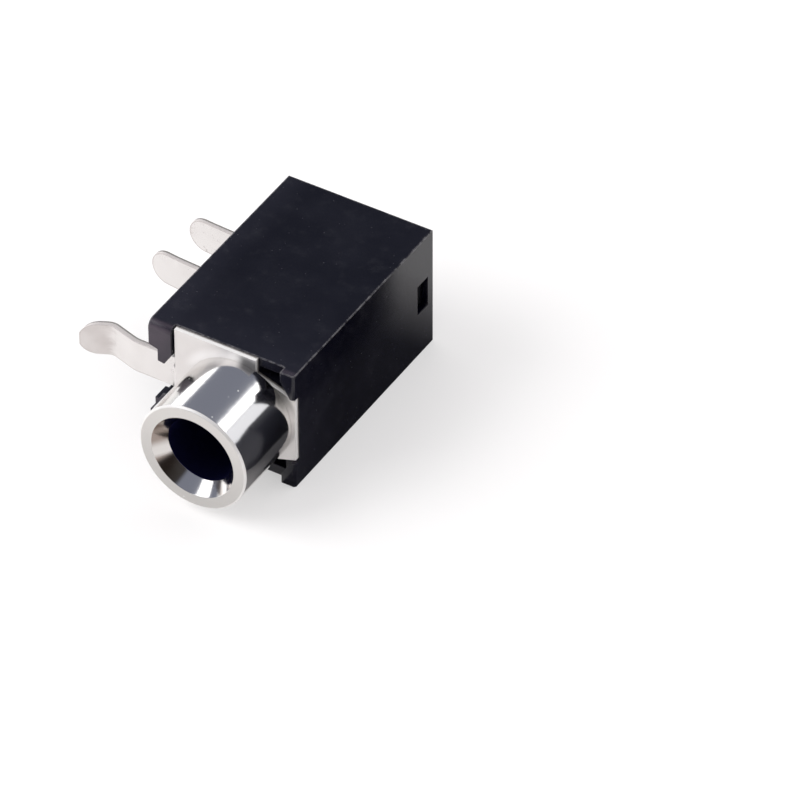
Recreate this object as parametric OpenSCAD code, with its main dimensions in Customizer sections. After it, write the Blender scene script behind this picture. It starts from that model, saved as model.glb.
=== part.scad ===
// Through-hole audio jack for a 3.5 mm plug, lying on one side face as it rests when it is loose.
// The origin is on the bush axis, on the face of the housing's front wall.
// The bush points along -Y, the board side is -X and the crown face is +X.

/* [Housing] */
// Length from the front wall to the open rear
body_length = 12.45; // [11.6:0.05:16]
// Width across the two side faces
body_width = 7; // [6.8:0.1:8.5]
// Height of the bush axis above the board
axis_height = 5; // [4.8:0.1:7]
// Distance from the bush axis to the crown face
crown_height = 3.25; // [3.2:0.05:5]
// Thickness of the two side walls
side_wall = 0.55; // [0.4:0.05:0.7]
// Thickness of the crown wall
crown_wall = 0.5; // [0.35:0.05:0.55]
// Thickness of the front wall
front_wall = 0.95; // [0.9:0.05:1.4]
// Thickness of the two lips along the board side
lip_wall = 1.55; // [1.2:0.05:1.6]
// Height of those lips
lip_height = 1.55; // [1.2:0.05:1.7]
// Length of the thinner stretch at the rear of each lip
lip_relief_length = 1.7; // [1.4:0.1:2.4]
// Thickness of the lips along that stretch
lip_relief_wall = 1.05; // [0.9:0.05:1.15]

/* [Front ribs] */
// How far the corner ribs stand in front of the front wall
rib_reach = 0.45; // [0.45:0.05:0.8]
// Width of the two ribs at the crown face, along the side faces
crown_rib_width = 0.8; // [0.6:0.05:1]
// Width of those two ribs at their feet, beside the plate
crown_rib_foot = 0.25; // [0.2:0.05:0.4]
// Chamfer along the corner edge of those two ribs
crown_rib_chamfer = 0.1; // [0.05:0.05:0.15]
// Width of the two ribs at the board side
board_rib_width = 1.3; // [1.1:0.05:1.5]
// Depth of the step on the board side of those two ribs
board_rib_step = 0.5; // [0.3:0.05:0.6]
// Radius on the outer front edge of those two ribs
board_rib_round = 0.42; // [0.1:0.02:0.44]

/* [Latch] */
// Length of the latch window along the housing
latch_length = 0.95; // [0.8:0.05:1.2]
// Width of the latch window
latch_width = 1.8; // [1.2:0.1:2.6]
// Wall left between the latch window and the open rear
latch_rear = 0.5; // [0.4:0.05:0.8]

/* [Bush] */
// Outer diameter of the bush
barrel_d = 6; // [5.8:0.1:6.4]
// Distance from the front wall to the mouth of the bush
barrel_reach = 4.5; // [3:0.1:8]
// Diameter of the bore that takes the plug
bore_d = 3.6; // [3.5:0.05:3.8]
// Diameter of the countersink at the mouth
mouth_d = 4.65; // [4.2:0.05:5]
// Depth of the countersink
mouth_depth = 0.75; // [0.3:0.05:1]
// Chamfer on the outer edge of the mouth
mouth_chamfer = 0.1; // [0.05:0.05:0.2]
// Diameter of the spigot that passes through the plate and the front wall
spigot_d = 4.7; // [4.4:0.1:4.9]
// Width of the rim that is rolled over behind the front wall
rim_width = 0.25; // [0.1:0.05:0.25]
// Thickness of that rim
rim_thickness = 0.2; // [0.1:0.05:0.3]

/* [Sleeve plate] */
// Thickness of the plate and its leg
plate_t = 0.3; // [0.2:0.05:0.35]
// Gap between the plate and the ribs at the board side
plate_gap = 0.1; // [0.1:0.05:0.3]
// Distance from the crown face to the step in the long edges of the plate
plate_step_back = 2.25; // [2:0.05:2.4]
// Depth of that step
plate_step_depth = 0.9; // [0.7:0.05:1]
// Width of the plate at the crown face
plate_nose_width = 3.74; // [3.4:0.02:4]
// How far the leg's front face lies behind the front wall
leg_setback = 0.43; // [0.35:0.01:0.45]

/* [Terminals] */
// Width of the three terminals
terminal_w = 1.86; // [1.4:0.02:2]
// Thickness of the ring and tip contacts
contact_t = 0.25; // [0.2:0.05:0.3]
// Reach of the sleeve and ring terminals beyond the board face of the housing
terminal_reach = 4.5; // [3.5:0.1:6]
// Reach of the tip terminal beyond the same face
tip_reach = 4.25; // [3.5:0.05:6]
// Distance from the board face to the first kink
kink_1 = 1.4; // [1:0.05:1.6]
// Distance from the board face to the second kink
kink_2 = 2.98; // [2.6:0.02:3.2]
// Distance from the front wall to the ring terminal
ring_y = 6.45; // [6:0.05:7]
// Distance from the tip terminal to the open rear
tip_back = 1.45; // [1.4:0.05:1.8]

/* [Springs] */
// Width of the leaf springs
spring_w = 1.4; // [0.9:0.1:1.8]
// Distance from the front wall to the ring contact point
ring_touch_y = 3.6; // [3:0.1:4]
// Distance from the front wall to the tip contact point
tip_touch_y = 6.6; // [6:0.1:7.5]
// How far the springs stand into the plug's path
spring_bite = 0.25; // [0.1:0.05:0.4]

/* [Carrier] */
// Depth of the carrier's board face behind the lips
face_recess = 0.5; // [0.3:0.05:0.6]
// Depth of the carrier's rear face inside the open rear
rear_recess = 0.2; // [0.1:0.05:0.3]
// Height of the carrier's floor above the lips
floor_rise = 0.95; // [0.6:0.05:1]
// Width of the carrier's rear block
block_width = 4.4; // [3.6:0.1:4.8]
// Gap between the rear block and the crown wall
block_gap = 0.25; // [0.15:0.05:0.35]
// Corner radius of the rear block
block_round = 0.3; // [0.1:0.05:0.5]

/* [Clearances] */
// Gap between the carrier and the walls it slides along
slide_gap = 0.05; // [0.03:0.01:0.1]
// Gap round the spigot
spigot_gap = 0.02; // [0.01:0.01:0.05]
// Gap between the contacts and the faces they bear on
seat_gap = 0.025; // [0.01:0.005:0.05]

/* [Hidden] */
$fn = 96;

// Planes and half widths of the housing and its ribs
half_w = body_width / 2;
board_x = -axis_height;
crown_x = crown_height;
crown_rib_x = crown_x - crown_rib_width;
crown_foot_x = crown_x - crown_rib_foot;
cavity_half = half_w - side_wall;
cavity_top = crown_x - crown_wall;
lip_x = board_x + lip_height;
lip_half = half_w - lip_wall;
lip_relief_half = half_w - lip_relief_wall;
relief_y = body_length - lip_relief_length;
relief_ramp = 0.5;

// Overshoot of the cutting shapes, and overlap where two shapes of one piece join
cut = 1;
blend = 0.1;

// Opening in the front wall for the sleeve leg, and the rib ends beside it
leg_gap = 0.72;
slot_half = terminal_w / 2 + leg_gap;
rib_end_gap = 0.4;
rib_end = slot_half + rib_end_gap;
rib_end_draft = 0.15;
tongue_gap = 0.2;
tongue_end = terminal_w / 2 + tongue_gap;
tongue_draft = 0.06;
tongue_tip = 0.37;
tongue_chamfer = 0.7;

// Outline of the sleeve plate
plate_inset = 0.05;
plate_x = board_x + board_rib_width + plate_gap;
plate_half = half_w - plate_inset;
plate_end = crown_x - plate_inset;
plate_step_x = crown_x - plate_step_back;
plate_step_half = half_w - plate_step_depth;
plate_nose_half = plate_nose_width / 2;
nose_flat = 0.15;
nose_draft = 0.05;
nose_gap = 0.05;
window_lap = 0.1;

// Fold of the sleeve leg behind the ribs, and the room for it in the front wall
leg_y = leg_setback + plate_t / 2;
neck_length = 0.05;
neck_run = 0.2;
neck_x = plate_x - neck_length;
fold_room = 0.25;
slot_x = plate_x + fold_room;

// Spigot and rolled rim of the bush
spigot_r = spigot_d / 2;
spigot_end = front_wall + rim_thickness;

// Carrier planes
face_x = board_x + face_recess;
guide_x = lip_x + slide_gap;
guide_half = cavity_half - slide_gap;
front_gap = 0.1;
guide_front = spigot_end + front_gap;
floor_x = lip_x + floor_rise;
flare = 0.5;
tongue_half = lip_half - slide_gap;
nose_front = leg_setback + plate_t + front_gap;
nose_half = slot_half - slide_gap;
rear_y = body_length - rear_recess;
block_top = cavity_top - block_gap;
block_half = block_width / 2;
heel_gap = 0.25;
heel_half = lip_relief_half - heel_gap;

// Catch in the latch window
catch_recess = 0.35;
catch_flat = 0.25;
catch_half = latch_width / 2 - 2 * slide_gap;
catch_front = body_length - latch_rear - latch_length + slide_gap;
catch_rear = body_length - latch_rear - slide_gap;
catch_top = crown_x - catch_recess;

// Planes of the two contacts, and the slots that they stand in
tip_y = body_length - tip_back;
block_front = tip_y + contact_t / 2 + seat_gap;
slot_side = 0.08;
ring_slot_rear = 0.55;
tip_slot_rear = 0.27;
heel_front = tip_y + contact_t / 2 + tip_slot_rear;

// Raised pad on the carrier's board face, between the two slots
pad_gap = 0.33;
pad_front = ring_y + contact_t / 2 + ring_slot_rear + pad_gap;
pad_length = 1.85;
pad_half = 0.95;
pad_rise = 0.15;
pad_round = 0.3;

// Middle planes of the leaf springs
plug_gap = 0.05;
touch_x = bore_d / 2 - plug_gap - spring_bite + contact_t / 2;
ring_root_rise = 0.3;
ring_root_x = floor_x + ring_root_rise;
ring_dip = 0.35;
ring_run = 0.9;
tip_root_drop = 0.4;
tip_root_x = cavity_top - tip_root_drop;
tip_run = 1;
tail_length = 0.95;
tail_lift = 0.42;
post_lead = 0.1;
bend = 0.25;

// Sideways drift of each terminal at its first kink, its second kink and its end
sleeve_drift = [0, 0.46, -0.28];
ring_drift = [0.28, 0.37, 0.55];
tip_drift = [-1.15, -1.07, -0.95];

// Bent strips: a path in X and Y, rounded at its corners and given a thickness

function unit(v) = v / norm(v);

function curve(a, b, c, r, steps = 5) =
  let (from = b + unit(a - b) * r, to = b + unit(c - b) * r)
  [for (i = [0 : steps]) let (s = i / steps) from * (1 - s) ^ 2 + b * 2 * s * (1 - s) + to * s ^ 2];

function rounded(path, r) = [
  path[0],
  for (i = [1 : len(path) - 2]) each curve(path[i - 1], path[i], path[i + 1], r),
  path[len(path) - 1]
];

function across(a, b) = let (d = unit(b - a)) [-d[1], d[0]];

function miter(path, i) =
  i == 0 ? across(path[0], path[1])
  : i == len(path) - 1 ? across(path[i - 1], path[i])
  : let (n = across(path[i - 1], path[i]), m = unit(n + across(path[i], path[i + 1]))) m / (m * n);

function sheet(path, t) = [
  for (i = [0 : len(path) - 1]) path[i] + miter(path, i) * t / 2,
  for (i = [len(path) - 1 : -1 : 0]) path[i] - miter(path, i) * t / 2
];

// Points of a terminal from its end up to the first kink
function kinks(root_y, drift, reach) = [
  [board_x - reach, root_y + drift[2]],
  [board_x - kink_2, root_y + drift[1]],
  [board_x - kink_1, root_y + drift[0]]
];

module strip(path, t, w) {
  linear_extrude(height = w, center = true) polygon(sheet(rounded(path, bend), t));
}

// Shape with a full round end towards the board, seen along Y, reaching up to the crown side
module round_end(w, reach) {
  rotate([90, 0, 0]) linear_extrude(height = 4 * body_length, center = true) {
    translate([board_x - reach + w / 2, 0]) circle(d = w);
    translate([board_x - reach + w / 2, -w / 2]) square([crown_x - board_x + reach, w]);
  }
}

module both_sides() {
  children();
  mirror([0, 0, 1]) children();
}

// Prism with its outline in X and Z, from one Y to another
module across_y(from, to) {
  translate([0, to, 0]) rotate([90, 0, 0]) linear_extrude(height = to - from) children();
}

// Box between two corners
module box(low, high) {
  translate(low) cube(high - low);
}

// Half of the plate's outline, and the height of its slanted edge at one X
function plate_edge() = [
  [plate_x, plate_half], [plate_step_x, plate_half], [plate_step_x, plate_step_half],
  [plate_end - nose_flat, plate_nose_half + nose_draft], [plate_end, plate_nose_half]
];

function plate_slant(x) = lookup(x, [plate_edge()[2], plate_edge()[3]]);

// Rib that narrows below the side wall towards its foot, with a chamfer along its corner edge
module crown_rib() {
  c = crown_rib_chamfer;
  end = plate_slant(crown_foot_x) + nose_gap;
  intersection() {
    linear_extrude(height = half_w + cut) polygon([
      [crown_rib_x - cut, blend], [crown_rib_x - cut, -rib_reach], [crown_x - c, -rib_reach],
      [crown_x, c - rib_reach], [crown_x, blend]
    ]);
    across_y(-rib_reach - cut, blend + cut) polygon([
      [crown_rib_x, half_w], [crown_rib_x, cavity_half], [crown_foot_x, end],
      [crown_x + cut, end], [crown_x + cut, half_w]
    ]);
  }
}

// Stepped rib whose inner part hangs lower than its outer part, rounded along its front outer edge
module board_rib() {
  step_x = board_x + board_rib_step;
  inner_x = board_x + board_rib_width;
  r = board_rib_round;
  difference() {
    across_y(-rib_reach, blend) polygon([
      [board_x, half_w], [board_x, rib_end], [step_x, rib_end - rib_end_draft],
      [step_x, tongue_end + tongue_draft], [step_x + tongue_tip, tongue_end],
      [inner_x, tongue_end + tongue_chamfer], [inner_x, half_w]
    ]);
    translate([board_x - cut, r - rib_reach, half_w - r]) difference() {
      box([0, -r - cut, 0], [2 * cut + board_rib_width, 0, r + cut]);
      rotate([0, 90, 0]) cylinder(r = r, h = 2 * cut + board_rib_width);
    }
  }
}

// Opening between the plate's slanted edge and the crown rib
module corner_window() {
  across_y(-cut, front_wall + cut) polygon([
    [plate_step_x, cavity_half], [plate_step_x, plate_slant(plate_step_x) - window_lap],
    [crown_rib_x, plate_slant(crown_rib_x) - window_lap], [crown_rib_x, cavity_half]
  ]);
}

module housing() {
  color("#1c1d23") difference() {
    union() {
      box([board_x, 0, -half_w], [crown_x, body_length, half_w]);
      both_sides() crown_rib();
      both_sides() board_rib();
    }
    box([lip_x, front_wall, -cavity_half], [cavity_top, body_length + cut, cavity_half]);
    box([board_x - cut, front_wall, -lip_half], [lip_x + blend, body_length + cut, lip_half]);
    translate([board_x - cut, 0, 0]) rotate([90, 0, 90]) linear_extrude(height = lip_height + cut + blend)
      polygon([
        [relief_y - relief_ramp, -lip_half], [relief_y, -lip_relief_half],
        [body_length + cut, -lip_relief_half], [body_length + cut, lip_relief_half],
        [relief_y, lip_relief_half], [relief_y - relief_ramp, lip_half]
      ]);
    box([board_x - cut, 0, -slot_half], [slot_x, front_wall + cut, slot_half]);
    rotate([-90, 0, 0]) cylinder(r = spigot_r + spigot_gap, h = front_wall + cut);
    both_sides() corner_window();
    box(
      [cavity_top - blend, body_length - latch_rear - latch_length, -latch_width / 2],
      [crown_x + cut, body_length - latch_rear, latch_width / 2]
    );
  }
}

// Catch on top of the rear block, with its ramp towards the front
module catch() {
  linear_extrude(height = 2 * catch_half, center = true) polygon([
    [block_top - blend, catch_front], [block_top, catch_front], [catch_top, catch_rear - catch_flat],
    [catch_top, catch_rear], [block_top - blend, catch_rear]
  ]);
}

// Rear block with a flared foot and round corners at the crown
module rear_block() {
  r = block_round;
  across_y(block_front, rear_y) {
    polygon([
      [floor_x - blend, -guide_half], [floor_x, -guide_half], [floor_x + flare, -block_half],
      [block_top - r, -block_half], [block_top - r, block_half],
      [floor_x + flare, block_half], [floor_x, guide_half], [floor_x - blend, guide_half]
    ]);
    translate([block_top - r - blend, r - block_half]) square([r + blend, block_width - 2 * r]);
    for (s = [-1, 1]) translate([block_top - r, s * (block_half - r)]) circle(r = r);
  }
}

module pad() {
  r = pad_round;
  translate([face_x - pad_rise, pad_front, 0]) rotate([90, 0, 90]) linear_extrude(height = pad_rise + blend) {
    translate([r, -pad_half]) square([pad_length - 2 * r, 2 * pad_half]);
    translate([0, r - pad_half]) square([pad_length, 2 * (pad_half - r)]);
    for (y = [r, pad_length - r], s = [-1, 1]) translate([y, s * (pad_half - r)]) circle(r = r);
  }
}

// Slot through the carrier's floor, from the contact's front face to a relief behind it
module contact_slot(y, rear) {
  half = terminal_w / 2 + slot_side;
  front = y - contact_t / 2 - seat_gap;
  box([face_x - cut, front, -half], [floor_x + cut, y + contact_t / 2 + rear, half]);
}

module contact_carrier() {
  color("#26262c") difference() {
    union() {
      box([face_x, guide_front, -tongue_half], [guide_x + blend, rear_y, tongue_half]);
      box([face_x, nose_front, -nose_half], [plate_x - slide_gap, guide_front + blend, nose_half]);
      box([face_x, heel_front, -heel_half], [guide_x + blend, rear_y, heel_half]);
      box([guide_x, guide_front, -guide_half], [floor_x, rear_y, guide_half]);
      rear_block();
      catch();
      pad();
    }
    contact_slot(ring_y, ring_slot_rear);
    contact_slot(tip_y, tip_slot_rear);
  }
}

// Turned bush: shoulder against the plate, spigot through the wall, rim rolled over behind it
module sleeve_barrel() {
  r = barrel_d / 2;
  bore_r = bore_d / 2;
  rim_r = spigot_r + rim_width;
  color("#c9c8c6") rotate([-90, 0, 0]) rotate_extrude() polygon([
    [bore_r, mouth_depth - barrel_reach], [mouth_d / 2, -barrel_reach],
    [r - mouth_chamfer, -barrel_reach], [r, mouth_chamfer - barrel_reach],
    [r, -plate_t], [spigot_r, -plate_t], [spigot_r, front_wall],
    [rim_r, front_wall], [rim_r, spigot_end], [bore_r, spigot_end]
  ]);
}

// Stamped plate with the sleeve leg folded back behind the ribs
module sleeve_plate() {
  leg = concat(kinks(leg_y, sleeve_drift, terminal_reach), [
    [neck_x - neck_run, leg_y], [neck_x, -plate_t / 2], [plate_x + cut, -plate_t / 2]
  ]);
  color("#d8d4d0") {
    difference() {
      across_y(-plate_t, 0) polygon([
        each plate_edge(),
        for (i = [len(plate_edge()) - 1 : -1 : 0]) [plate_edge()[i][0], -plate_edge()[i][1]]
      ]);
      rotate([90, 0, 0]) cylinder(r = spigot_r + spigot_gap, h = 4 * plate_t, center = true);
    }
    intersection() {
      strip(leg, plate_t, terminal_w);
      round_end(terminal_w, terminal_reach);
      box([board_x - terminal_reach, -cut, -terminal_w], [plate_x + blend, body_length, terminal_w]);
    }
  }
}

// Terminal, post and leaf spring bent from one strip
module contact(root_y, drift, reach, root_x, spring) {
  post = concat(kinks(root_y, drift, reach), [[face_x - post_lead, root_y], [root_x - bend, root_y]]);
  leaf = concat([[face_x + bend, root_y], [root_x, root_y]], spring);
  color("#d3d0cb") {
    intersection() {
      strip(post, contact_t, terminal_w);
      round_end(terminal_w, reach);
    }
    strip(leaf, contact_t, spring_w);
  }
}

module ring_contact() {
  contact(ring_y, ring_drift, terminal_reach, ring_root_x, [
    [-touch_x - ring_dip, ring_y - ring_run], [-touch_x, ring_touch_y],
    [-touch_x - tail_lift, ring_touch_y - tail_length]
  ]);
}

module tip_contact() {
  contact(tip_y, tip_drift, tip_reach, tip_root_x, [
    [tip_root_x, tip_y - tip_run], [touch_x, tip_touch_y], [touch_x + tail_lift, tip_touch_y - tail_length]
  ]);
}

housing();
contact_carrier();
sleeve_barrel();
sleeve_plate();
ring_contact();
tip_contact();
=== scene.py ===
import math
import bpy
import bmesh
from mathutils import Matrix, Vector


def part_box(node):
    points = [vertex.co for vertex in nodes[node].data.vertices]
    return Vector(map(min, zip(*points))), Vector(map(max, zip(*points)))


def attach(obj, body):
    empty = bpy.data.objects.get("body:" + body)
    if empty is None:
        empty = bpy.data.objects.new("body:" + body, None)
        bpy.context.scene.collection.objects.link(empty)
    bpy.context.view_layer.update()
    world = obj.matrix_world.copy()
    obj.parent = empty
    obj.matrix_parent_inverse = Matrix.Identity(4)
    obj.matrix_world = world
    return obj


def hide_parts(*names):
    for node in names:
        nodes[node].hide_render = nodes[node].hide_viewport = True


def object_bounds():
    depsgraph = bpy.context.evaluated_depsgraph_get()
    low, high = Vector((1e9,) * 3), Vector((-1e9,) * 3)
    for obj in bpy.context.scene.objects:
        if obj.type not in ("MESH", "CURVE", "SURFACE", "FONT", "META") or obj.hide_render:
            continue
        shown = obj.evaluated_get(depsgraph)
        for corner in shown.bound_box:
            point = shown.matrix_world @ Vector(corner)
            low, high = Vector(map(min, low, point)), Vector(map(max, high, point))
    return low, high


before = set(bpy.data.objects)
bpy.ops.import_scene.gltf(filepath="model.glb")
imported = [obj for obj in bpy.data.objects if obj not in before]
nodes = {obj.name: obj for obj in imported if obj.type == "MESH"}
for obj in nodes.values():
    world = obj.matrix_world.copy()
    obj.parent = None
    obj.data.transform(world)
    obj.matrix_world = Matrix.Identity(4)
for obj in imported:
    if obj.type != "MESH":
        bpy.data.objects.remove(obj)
cadLow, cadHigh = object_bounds()
mm = 0.001
print("frame loaded:", ", ".join(sorted(nodes)))

# camera first, at the angle of the photograph
viewSpot = {
    "azimuth": 31.266,  # degrees, 0 looks straight into the bush
    "elevation": 40.74,
    "roll": -0.2,
    "distance": 390.651,  # mm from the target
    "target": (4.214, 7.711, -3.488),  # mm, on the floor
    "lens": 360,
    "sensor": 36,
    "clip": (0.01, 20),  # m
}


def placeCamera(spot):
    az, el, roll = (math.radians(spot[k]) for k in ("azimuth", "elevation", "roll"))
    back = Vector((math.sin(az) * math.cos(el), -math.cos(az) * math.cos(el), math.sin(el)))
    right = Vector((math.cos(az), math.sin(az), 0))
    up = back.cross(right)
    side = math.cos(roll) * right + math.sin(roll) * up
    top = math.cos(roll) * up - math.sin(roll) * right
    lens = bpy.data.cameras.new("viewCamera")
    lens.lens, lens.sensor_width = spot["lens"], spot["sensor"]
    lens.clip_start, lens.clip_end = spot["clip"]
    camera = bpy.data.objects.new("viewCamera", lens)
    camera.matrix_world = Matrix((side, top, back)).transposed().to_4x4()
    camera.location = mm * (Vector(spot["target"]) + spot["distance"] * back)
    bpy.context.scene.collection.objects.link(camera)
    bpy.context.scene.camera = camera


placeCamera(viewSpot)
print("camera placed")


class Wire:  # a shader socket that takes plain maths
    def __init__(self, paint, socket):
        self.paint, self.socket = paint, socket

    def op(self, name, a, b=0.0):
        return self.paint.node("Math", {"operation": name}, {0: a, 1: b})

    def __add__(self, b): return self.op("ADD", self, b)
    def __radd__(self, b): return self.op("ADD", b, self)
    def __sub__(self, b): return self.op("SUBTRACT", self, b)
    def __rsub__(self, b): return self.op("SUBTRACT", b, self)
    def __mul__(self, b): return self.op("MULTIPLY", self, b)
    def __rmul__(self, b): return self.op("MULTIPLY", b, self)
    def __pow__(self, b): return self.op("POWER", self, b)
    def __neg__(self): return self.op("SUBTRACT", 0.0, self)
    def __abs__(self): return self.op("ABSOLUTE", self)
    def most(self, b): return self.op("MAXIMUM", self, b)
    def sine(self): return self.op("SINE", self)


class Paint:  # one node tree, filled node by node
    def __init__(self, owner):
        owner.use_nodes = True
        self.tree = owner.node_tree
        self.tree.nodes.clear()

    def node(self, kind, settings=None, sockets=None, out=0):
        made = self.tree.nodes.new("ShaderNode" + kind)
        for key, value in (settings or {}).items():
            setattr(made, key, value)
        for key, value in (sockets or {}).items():
            if isinstance(value, Wire):
                self.tree.links.new(value.socket, made.inputs[key])
            else:
                made.inputs[key].default_value = value
        return Wire(self, made.outputs[out]) if made.outputs else None

    def mix(self, share, a, b):  # colours
        return self.node("Mix", {"data_type": "RGBA"}, {0: share, 6: a, 7: b}, 2)

    def step(self, value, low, high):  # 0 below low, 1 above high, smooth between
        ends = {"Value": value, "From Min": low, "From Max": high}
        return self.node("MapRange", {"interpolation_type": "SMOOTHSTEP"}, ends)

    def place(self, stretch=(1, 1, 1)):  # object position in mm
        spot = self.node("TexCoord", out="Object")
        size = [s / mm for s in stretch]
        return self.node("VectorMath", {"operation": "MULTIPLY"}, {0: spot, 1: size})

    def noise(self, spot, scale, detail=2.0, rough=0.5):
        wires = {"Vector": spot, "Scale": scale, "Detail": detail, "Roughness": rough}
        return self.node("TexNoise", None, wires)

    def split(self, spot):
        return [self.node("SeparateXYZ", None, {0: spot}, k) for k in range(3)]

    def facing(self):
        return self.node("NewGeometry", out="Normal")

    def bevelled(self, radius):  # normal, rounded over the edges, radius in mm
        return self.node("Bevel", {"samples": 8}, {"Radius": radius * mm})

    def edges(self, radius):  # 1 on sharp outer edges, 0 on flat faces
        ends = {0: self.bevelled(radius), 1: self.facing()}
        return 1 - self.node("VectorMath", {"operation": "DOT_PRODUCT"}, ends, "Value")

    def specks(self, spot, look):  # round grains in a few of the cells
        cells = {"Vector": spot, "Scale": look["cells"]}
        near = self.node("TexVoronoi", None, cells, "Distance")
        chance = self.split(self.node("TexVoronoi", None, cells, "Color"))[0]
        grain = look["size"] - near * (look["taper"] - look["growth"] * chance)
        return self.step(grain, 0, look["blur"]) * self.step(chance, *look["share"])

    def bump(self, height, strength, depth):  # depth in mm
        sockets = {"Strength": strength, "Distance": depth * mm, "Height": height}
        return self.node("Bump", None, sockets)

    def surface(self, values):
        shader = self.node("BsdfPrincipled", None, values)
        self.node("OutputMaterial", None, {"Surface": shader})


def newPaint(name):
    material = bpy.data.materials.new(name)
    return material, Paint(material)


def dress(piece, material):
    piece.data.materials.clear()
    piece.data.materials.append(material)


# moulded plastic of the housing and of the insert that carries the contacts
housingLook = {
    "deep": (0.0003, 0.0003, 0.0040, 1),
    "faded": (0.0095, 0.0095, 0.0165, 1),
    "worn": (0.170, 0.165, 0.172, 1),
    "speck": (0.045, 0.045, 0.052, 1),
    "bloom": (0.060, 0.046, 0.062, 1),  # dull skin of the front ribs
    "frontFade": (-4.5, 0),  # -Y in mm, paler towards the front
    "boardFade": (3.2, 5),  # -X in mm, and towards the board side
    "boardRibs": (2.6, 4.2),  # -X in mm
    "ribSides": (0.02, 0.25),  # -Y in mm
    "crownRibs": (0, 2),  # X in mm, where the skin gets thinner
    "sideFaces": (3.15, 3.4),  # Z in mm, where the edges are rubbed most
    "cloudScale": 0.35,  # to the mm, as the other scales
    "smearScale": 1.1,
    "wearScale": 2.2,
    "grainScale": 26,
    "specks": {"cells": 3.4, "size": 0.15, "taper": 1.6, "growth": 0.8, "blur": 0.12,
               "share": (0.5, 1.0)},
    "cloudShare": 0.25,
    "handledShare": 0.6,
    "dustShare": 0.5,
    "smearShare": 0.22,
    "edge": 0.17,  # mm, reach of the rubbing in from the edges
    "rough": 0.18,
    "ior": 1.385,
    "soften": 0.05,  # mm
}
carrierLook = dict(
    housingLook,
    deep=(0.0050, 0.0050, 0.0075, 1),
    faded=(0.0075, 0.0075, 0.0105, 1),
    worn=(0.030, 0.030, 0.034, 1),
    rough=0.34,
    soften=0.04,
)


def mouldedPlastic(name, look):
    material, p = newPaint(name)
    spot = p.place()
    x, y, z = p.split(spot)
    cloud = p.step(p.noise(spot, look["cloudScale"], 3), 0.35, 0.7)
    handled = p.step(-y, *look["frontFade"]) + p.step(-x, *look["boardFade"])
    pale = look["cloudShare"] * cloud + look["handledShare"] * handled
    colour = p.mix(pale, look["deep"], look["faded"])
    dust = p.specks(spot, look["specks"])
    smear = p.step(p.noise(spot, look["smearScale"], 5, 0.7), 0.5, 0.8)
    colour = p.mix(look["dustShare"] * dust + look["smearShare"] * smear, colour, look["speck"])
    # dull skin on the front of the board ribs and on the sides of all ribs
    facing = p.split(p.facing())
    front = p.step(-facing[1], 0.6, 0.95)
    sides = p.step(abs(facing[2]), 0.6, 0.9)
    skin = sides * p.step(-y, *look["ribSides"]) * (0.8 - 0.3 * p.step(x, *look["crownRibs"]))
    dull = front * p.step(-x, *look["boardRibs"]) + skin
    colour = p.mix(dull * (0.7 + 0.6 * (cloud - 0.5)), colour, look["bloom"])
    # rubbed edges, broken up
    broken = p.step(p.noise(spot, look["wearScale"], 4, 0.7), 0.34, 0.62)
    outer = p.step(abs(z), *look["sideFaces"])
    rub = p.step(p.edges(look["edge"]), 0.02, 0.10)
    rub = rub * (0.1 + 0.9 * broken) * (0.12 + 0.88 * outer)
    colour = p.mix(rub, colour, look["worn"])
    grain = p.noise(spot, look["grainScale"], 2, 0.6)
    rough = look["rough"] + 0.03 * cloud + 0.08 * (grain - 0.5)
    rough = rough + 0.2 * rub + 0.2 * dust + 0.15 * dull
    bump = p.bump(grain, 0.10, 0.004)
    p.surface({"Base Color": colour, "Roughness": rough, "Normal": bump, "IOR": look["ior"]})
    return material


softening = {
    "weld": 0.0005,  # mm
    "flat": 0.4,  # degrees, faces closer than this become one
    "angle": 16,  # degrees, edges sharper than this are rounded
    "segments": 2,
    "weight": 80,  # pull of the large faces on the shading
}


def softenEdges(piece, width, how=softening):  # width in mm
    if piece.data.attributes.get("custom_normal"):
        piece.data.attributes.remove(piece.data.attributes["custom_normal"])
    piece.data.shade_smooth()
    weld = piece.modifiers.new("weld", "WELD")
    weld.merge_threshold = how["weld"] * mm
    plain = piece.modifiers.new("plain", "DECIMATE")
    plain.decimate_type, plain.angle_limit = "DISSOLVE", math.radians(how["flat"])
    bevel = piece.modifiers.new("bevel", "BEVEL")
    bevel.width, bevel.segments = width * mm, how["segments"]
    bevel.limit_method, bevel.angle_limit = "ANGLE", math.radians(how["angle"])
    bevel.use_clamp_overlap = True
    normals = piece.modifiers.new("normals", "WEIGHTED_NORMAL")
    normals.keep_sharp, normals.weight = True, how["weight"]


dress(nodes["housing"], mouldedPlastic("housingPlastic", housingLook))
softenEdges(nodes["housing"], housingLook["soften"])
dress(nodes["contact_carrier"], mouldedPlastic("carrierPlastic", carrierLook))
softenEdges(nodes["contact_carrier"], carrierLook["soften"])
print("plastic pieces dressed")

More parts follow.
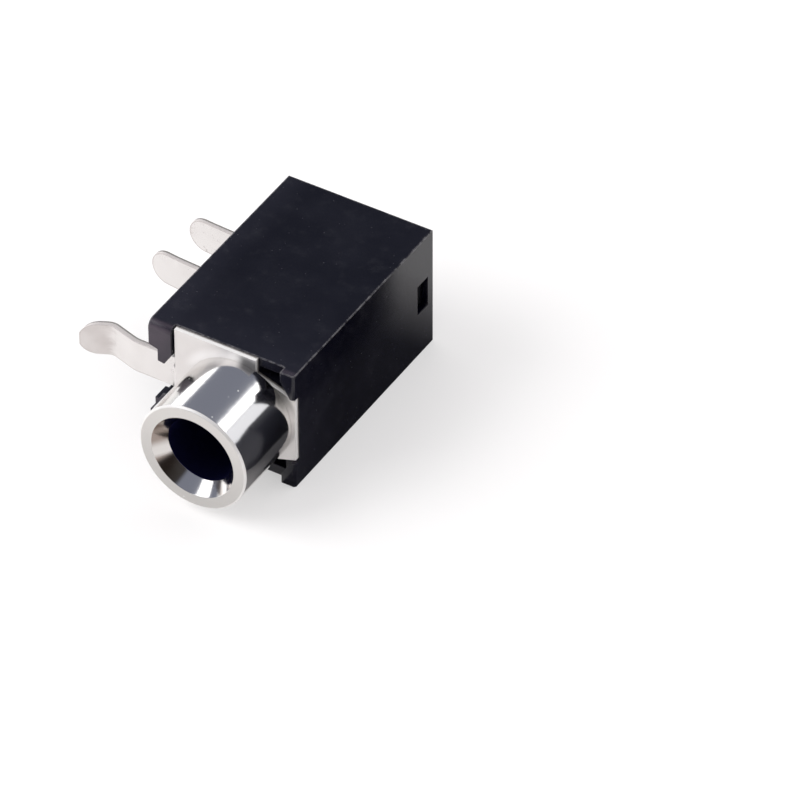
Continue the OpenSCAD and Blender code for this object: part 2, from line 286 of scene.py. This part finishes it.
# stamped and tinned plate, terminals and leaf springs
tinLook = {
    "pale": (0.825, 0.800, 0.785, 1),
    "dull": (0.770, 0.740, 0.725, 1),
    "sheared": (0.840, 0.825, 0.810, 1),  # cut edge of the sheet
    "burr": (0.170, 0.155, 0.145, 1),  # torn line along its rear
    "tarnishAndShade": (0.560, 0.515, 0.500, 1),  # painted shade at the end of the sleeve leg and along the rims, tarnish in the stains
    "plateShade": (0.330, 0.320, 0.310, 1),  # painted shade on the plate, round the root of the bush
    "rubbedAndGlare": (0.940, 0.915, 0.905, 1),  # painted highlight on the plate, over the bush
    "outside": (4.6, 5.4),  # -X in mm, where the terminals leave the housing
    "legEnd": (8.1, 8.8),  # -X in mm, end of the sleeve leg with painted shade
    "legOnly": (-3, -2),  # -Y in mm, leaves out the other terminals
    "rearTerminal": (8.5, 9.0),  # Y in mm, the stained one
    "plateFrom": (-3.75, -3.45),  # X in mm
    "plateFront": (-0.5, 0),  # -Y in mm
    "plateRight": (-0.3, 0.4),  # X in mm
    "plateShadeHeight": (0.6, 1.9),  # Z in mm
    "plateShadeReach": (3.25, 3.6),  # mm from the bush axis
    "glareHeight": (1.0, 2.4),
    "glareReach": (3.1, 3.7),
    "cloudScale": 0.6,  # to the mm, as the other scales
    "streakScale": 1.6,
    "streakStretch": (0.5, 1, 3),
    "stainScale": 3.2,
    "tear": 0.22,  # mm, reach of the torn line
    "rim": 0.18,  # mm, reach of the painted shade line along the outlines
    "rough": 0.22,
    "soften": 0.03,  # mm
}


def stampedTin(name, look):
    material, p = newPaint(name)
    spot = p.place()
    x, y, z = p.split(spot)
    radius = (x * x + z * z) ** 0.5
    cloud = p.step(p.noise(spot, look["cloudScale"], 2), 0.35, 0.75)
    streak = p.noise(p.place(look["streakStretch"]), look["streakScale"], 2)
    # cut edges of the sheet
    cut = 1 - p.step(abs(p.split(p.facing())[1]), 0.3, 0.8)
    torn = cut * p.step(p.split(p.bevelled(look["tear"]))[1], 0.06, 0.25)
    # painted shade on the terminals, and tarnish stains
    outside = p.step(-x, *look["outside"])
    legEndShade = p.step(-x + streak, *look["legEnd"]) * p.step(-y, *look["legOnly"])
    legEndShade = legEndShade * (0.5 + 0.5 * cloud)
    # painted shade along the outlines of the terminals outside the housing
    rim = p.step(p.edges(look["rim"]), 0.01, 0.10) * outside
    stain = p.step(p.noise(spot, look["stainScale"], 4, 0.7), 0.58, 0.70)
    stain = stain * p.step(y, *look["rearTerminal"]) * outside
    # zones on the front of the plate: painted shade round the root of the bush, painted
    # highlight over it
    plate = p.step(x, *look["plateFrom"])
    front = plate * p.step(-y, *look["plateFront"]) * (1 - cut)
    right = p.step(x, *look["plateRight"])
    plateShade = front * right * p.step(z, *look["plateShadeHeight"])
    plateShade = plateShade * (1 - p.step(radius, *look["plateShadeReach"]))
    # painted highlight on the plate over the bush
    rubbedAndGlare = front * (1 - right) * p.step(z, *look["glareHeight"])
    rubbedAndGlare = rubbedAndGlare * (1 - p.step(radius, *look["glareReach"]))
    colour = p.mix(0.7 * cloud, look["pale"], look["dull"])
    colour = p.mix(legEndShade.most(0.9 * rim + 0.7 * stain), colour, look["tarnishAndShade"])
    colour = p.mix(0.22 * front * (1 - right), colour, look["tarnishAndShade"])
    colour = p.mix(plateShade, colour, look["plateShade"])
    colour = p.mix(rubbedAndGlare, colour, look["rubbedAndGlare"])
    colour = p.mix(cut, colour, p.mix(0.8 * outside, look["sheared"], look["tarnishAndShade"]))
    colour = p.mix(torn, colour, look["burr"])
    metal = 1 - 0.7 * cut - 0.25 * plate * (1 - cut) - 0.6 * rubbedAndGlare
    rough = look["rough"] + 0.06 * cloud + 0.06 * (streak - 0.5) + 0.3 * cut + 0.1 * plate
    bump = p.bump(streak, 0.05, 0.003)
    p.surface({"Base Color": colour, "Metallic": metal, "Roughness": rough, "Normal": bump})
    return material


tin = stampedTin("stampedTin", tinLook)
for name in ("sleeve_plate", "ring_contact", "tip_contact"):
    dress(nodes[name], tin)
    softenEdges(nodes[name], tinLook["soften"])
print("stamped pieces dressed")

# turned bush: spun from its own profile, so that the mirror side is truly round
bushShape = {
    "mouth": 2.325,  # mm, radius of the countersink at the mouth face
    "bore": 1.8,
    "sink": 0.75,  # depth of the countersink
    "chamfer": 0.1,
    "spigot": 2.35,
    "shoulder": -0.3,  # Y of the face against the plate
    "wall": 0.95,  # Y of the front wall's inner face
    "rim": 2.6,
    "round": 0.03,  # radius left by the tool on the edges
    "arc": 4,  # steps round each edge
    "hold": 1.8,  # times that radius, for the points that keep the long stretches straight
    "steps": 240,
}
bushLook = {
    "bright": (0.750, 0.735, 0.715, 1),
    "faced": (0.660, 0.640, 0.618, 1),
    "facedShaded": (0.560, 0.545, 0.528, 1),  # painted shade on the lower half of the mouth face
    "stain": (0.33, 0.275, 0.245, 1),  # brown tarnish and painted shade in the countersink
    "inside": (0.035, 0.036, 0.160, 1),
    "dust": (0.80, 0.80, 0.80, 1),
    "rubbedAndGlare": (0.76, 0.745, 0.73, 1),  # outer edge of the mouth
    "faceFade": (-2.4, 2.2),  # Z in mm
    "stainHigh": (-0.5, 0.1),  # Z in mm
    "stainLow": (0.75, 1.05),  # -Z in mm
    "stainLeft": (0.8, 1.9),  # -X in mm
    "cloudScale": 0.8,  # to the mm, as the other scale
    "waveScale": 2.4,
    "specks": {"cells": 1.9, "size": 0.10, "taper": 1.8, "growth": 0.8, "blur": 0.06,
               "share": (0.55, 0.95)},
    "polish": 0.13,
    "facing": 0.34,
    "pitch": 0.05,  # mm between the tool marks on the mouth face
}


def roundCorners(outline, shape):
    points = []
    steps, hold = shape["arc"], shape["hold"]
    for i, corner in enumerate(outline):
        here = Vector(corner)
        before = (Vector(outline[i - 1]) - here).normalized() * shape["round"]
        after = (Vector(outline[(i + 1) % len(outline)]) - here).normalized() * shape["round"]
        parts = [k / steps for k in range(steps + 1)]
        arc = [here + before * (1 - t) ** 2 + after * t ** 2 for t in parts]
        points += [here + before * hold, *arc, here + after * hold]
    return points


def spin(name, outline, steps):
    mesh = bpy.data.meshes.new(name)
    bm = bmesh.new()
    rings = []
    for k in range(steps):
        a = 2 * math.pi * k / steps
        spots = [(r * math.cos(a) * mm, y * mm, r * math.sin(a) * mm) for r, y in outline]
        rings.append([bm.verts.new(spot) for spot in spots])
    for k in range(steps):
        one, two = rings[k], rings[(k + 1) % steps]
        for i in range(len(outline)):
            j = (i + 1) % len(outline)
            bm.faces.new((one[i], one[j], two[j], two[i]))
    bmesh.ops.recalc_face_normals(bm, faces=bm.faces)
    bm.to_mesh(mesh)
    bm.free()
    mesh.shade_smooth()
    piece = bpy.data.objects.new(name, mesh)
    bpy.context.scene.collection.objects.link(piece)
    return piece


def turnedBush(shape):
    low, high = (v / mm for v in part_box("sleeve_barrel"))
    outer = (high.x - low.x) / 2
    outline = [
        (shape["bore"], low.y + shape["sink"]), (shape["mouth"], low.y),
        (outer - shape["chamfer"], low.y), (outer, low.y + shape["chamfer"]),
        (outer, shape["shoulder"]), (shape["spigot"], shape["shoulder"]),
        (shape["spigot"], shape["wall"]), (shape["rim"], shape["wall"]),
        (shape["rim"], high.y), (shape["bore"], high.y),
    ]
    return spin("bush", roundCorners(outline, shape), shape["steps"]), low.y, outer


def nickelPlate(name, look, shape, mouthY, outer):
    material, p = newPaint(name)
    spot = p.place()
    x, y, z = p.split(spot)
    radius = (x * x + z * z) ** 0.5
    depth = y - mouthY
    face = 1 - p.step(depth, 0.004, 0.02)
    bore = 1 - p.step(radius, shape["bore"] + 0.003, shape["bore"] + 0.015)
    cloud = p.noise(spot, look["cloudScale"], 3)
    marks = ((radius + 0.02 * cloud) * (2 * math.pi / look["pitch"])).sine()
    upper = p.step(z + 1.2 * (cloud - 0.5), *look["faceFade"])
    ring = p.mix(upper, look["facedShaded"], look["faced"])
    colour = p.mix(face, look["bright"], ring)
    # brown tarnish and painted shade on the left of the countersink, with a clean gap
    sink = (1 - face) * (1 - p.step(radius, shape["mouth"] - 0.005, shape["mouth"] + 0.025))
    bands = 0.2 + 0.8 * (p.step(z, *look["stainHigh"]) + p.step(-z, *look["stainLow"]))
    sinkStainAndShade = sink * p.step(1.6 * (cloud - 0.5) - x, *look["stainLeft"]) * bands
    colour = p.mix(sinkStainAndShade, colour, look["stain"])
    colour = p.mix(bore, colour, look["inside"])
    dust = p.specks(spot, look["specks"]) * (1 - bore)
    colour = p.mix(dust, colour, look["dust"])
    chamfer = 1 - p.step(depth, shape["chamfer"], shape["chamfer"] + 0.05)
    edge = p.step(radius, outer - 0.12, outer - 0.07) * chamfer * (1 - face)
    colour = p.mix(edge, colour, look["rubbedAndGlare"])
    matte = dust.most(0.65 * edge)
    rough = look["polish"] + face * (look["facing"] - look["polish"] + 0.05 * marks)
    rough = rough + 0.35 * bore + 0.03 * (cloud - 0.5) + 0.4 * matte
    wave = p.noise(spot, look["waveScale"], 3, 0.55) * (1 - face)
    bump = p.bump(wave + 0.2 * marks * face, 0.5, 0.004)
    p.surface({"Base Color": colour, "Metallic": 1 - matte, "Roughness": rough, "Normal": bump})
    return material


bush, mouthY, bushOuter = turnedBush(bushShape)
dress(bush, nickelPlate("bushNickel", bushLook, bushShape, mouthY, bushOuter))
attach(bush, "root")
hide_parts("sleeve_barrel")
print("bush turned,", len(bush.data.polygons), "faces")

# floor, backdrop and light
floorLook = {
    "size": 3.0,  # m
    "thick": 0.01,  # m
    "colour": (0.96, 0.94, 0.938, 1),
    "lift": 0.45,  # share of plain white where the camera or a mirror looks at it
}
skyLook = {
    "backdrop": (1, 1, 1, 1),
    "dome": (0.66, 0.65, 0.66, 1),  # soft light from all sides
    "ceiling": (0.225, 0.24, 0.30, 1),  # what a mirror sees over the table
    "horizon": (0.05, 0.20),  # height where the backdrop ends, as the sine of the elevation
    "corner": (0.045, 0.040, 0.038, 1),  # dark corner of the room, front right
    "cornerX": (0.15, 0.35),  # its bounds, as parts of the direction
    "cornerFront": (0.2, 0.36),
    "cornerLow": (-0.1, 0.25),
    "cornerHigh": (0.8, 0.9),
}
lampAway = 0.5  # m, from the part to each lamp
lampLook = {  # sizes in m
    "rightHigh": {"aim": (0.404, 0.648, 0.646), "wide": 0.40, "tall": 0.097, "watts": 0.25},
    "rightLow": {"aim": (0.646, 0.648, 0.400), "wide": 0.40, "tall": 0.165, "watts": 0.17},
    "leftBox": {"aim": (-0.693, 0.656, 0.300), "wide": 0.58, "tall": 0.158, "watts": 0.50},
    "frontBox": {"aim": (-0.674, -0.394, 0.626), "wide": 0.39, "tall": 0.21, "watts": 0.48},
    "keyBox": {"aim": (-0.640, -0.480, 0.600), "wide": 0.36, "tall": 0.36, "watts": 1.6,
               "matte": True},  # a matte lamp leaves no mirror image
}
cardLook = {  # mm, corners of the dark cards beside the crown face, seen in mirrors only; the lying card is painted shadow on the floor
    "standing": {"low": (6.1, 0.2, -3.45), "high": (14.4, 13.2, 3.45), "fade": 0,
                 "colour": (0.014, 0.015, 0.026, 1)},
    "lying": {"low": (2.5, -3.6, -3.48), "high": (9.0, 16.0, -3.44), "fade": 1,
              "colour": (0.07, 0.068, 0.08, 1)},
}
cardFade = {
    "front": (-1.0, 2.5),  # -Y in mm
    "rear": (11, 16),  # Y in mm
    "frontShare": 0.4,
    "pale": (0.9, 0.88, 0.88, 1),
    "rough": 0.5,
}


def boxMesh(name, low, high):
    mesh = bpy.data.meshes.new(name)
    bm = bmesh.new()
    bmesh.ops.create_cube(bm, size=1)
    for v in bm.verts:
        v.co = Vector((low[k] if v.co[k] < 0 else high[k]) for k in range(3))
    bm.to_mesh(mesh)
    bm.free()
    piece = bpy.data.objects.new(name, mesh)
    bpy.context.scene.collection.objects.link(piece)
    return piece


def makeFloor(look):
    half, top = look["size"] / 2, cadLow.z
    floor = boxMesh("floor", (-half, -half, top - look["thick"]), (half, half, top))
    material, p = newPaint("floorCard")
    plain = p.node("BsdfDiffuse", None, {"Color": look["colour"]})
    white = p.node("Emission", None, {"Color": (1, 1, 1, 1), "Strength": 1.0})
    seen, mirrored, through = (
        p.node("LightPath", out=ray)
        for ray in ("Is Camera Ray", "Is Glossy Ray", "Is Transmission Ray")
    )
    share = look["lift"] * (seen + mirrored + through)
    both = p.node("MixShader", None, {0: share, 1: plain, 2: white})
    p.node("OutputMaterial", None, {"Surface": both})
    dress(floor, material)


def makeSky(look):
    world = bpy.data.worlds.new("sky")
    bpy.context.scene.world = world
    p = Paint(world)
    x, y, z = p.split(p.node("TexCoord", out="Generated"))
    room = p.mix(p.step(z, *look["horizon"]), look["backdrop"], look["ceiling"])
    corner = p.step(x, *look["cornerX"]) * p.step(-y, *look["cornerFront"])
    corner = corner * p.step(z, *look["cornerLow"]) * (1 - p.step(z, *look["cornerHigh"]))
    room = p.mix(corner, room, look["corner"])
    colour = p.mix(p.node("LightPath", out="Is Glossy Ray"), look["dome"], room)
    seen = p.node("LightPath", out="Is Camera Ray")
    through = p.node("LightPath", out="Is Transmission Ray")
    colour = p.mix(seen + through, colour, look["backdrop"])
    light = p.node("Background", None, {"Color": colour, "Strength": 1.0})
    p.node("OutputWorld", None, {"Surface": light})


def makeLamp(name, look):
    data = bpy.data.lights.new(name, "AREA")
    data.shape, data.size, data.size_y = "RECTANGLE", look["wide"], look["tall"]
    data.energy = look["watts"]
    lamp = bpy.data.objects.new(name, data)
    aim = Vector(look["aim"]).normalized()
    lamp.location = aim * lampAway
    lamp.rotation_mode = "QUATERNION"
    lamp.rotation_quaternion = aim.to_track_quat("Z", "Y")
    lamp.visible_glossy = not look.get("matte")
    bpy.context.scene.collection.objects.link(lamp)


def makeCard(name, look, ends):
    card = boxMesh(name, [mm * v for v in look["low"]], [mm * v for v in look["high"]])
    material, p = newPaint(name)
    y = p.split(p.place())[1]
    fade = p.step(-y, *ends["front"]) * ends["frontShare"] + p.step(y, *ends["rear"])
    colour = p.mix(fade * look["fade"], look["colour"], ends["pale"])
    p.surface({"Base Color": colour, "Roughness": ends["rough"]})
    dress(card, material)
    card.visible_camera = card.visible_diffuse = card.visible_shadow = False
    card.visible_transmission = False


makeFloor(floorLook)
makeSky(skyLook)
for name, look in lampLook.items():
    makeLamp(name, look)
for name, look in cardLook.items():
    makeCard(name + "Card", look, cardFade)
bpy.context.scene.view_settings.view_transform = "Standard"
print("floor and light set")
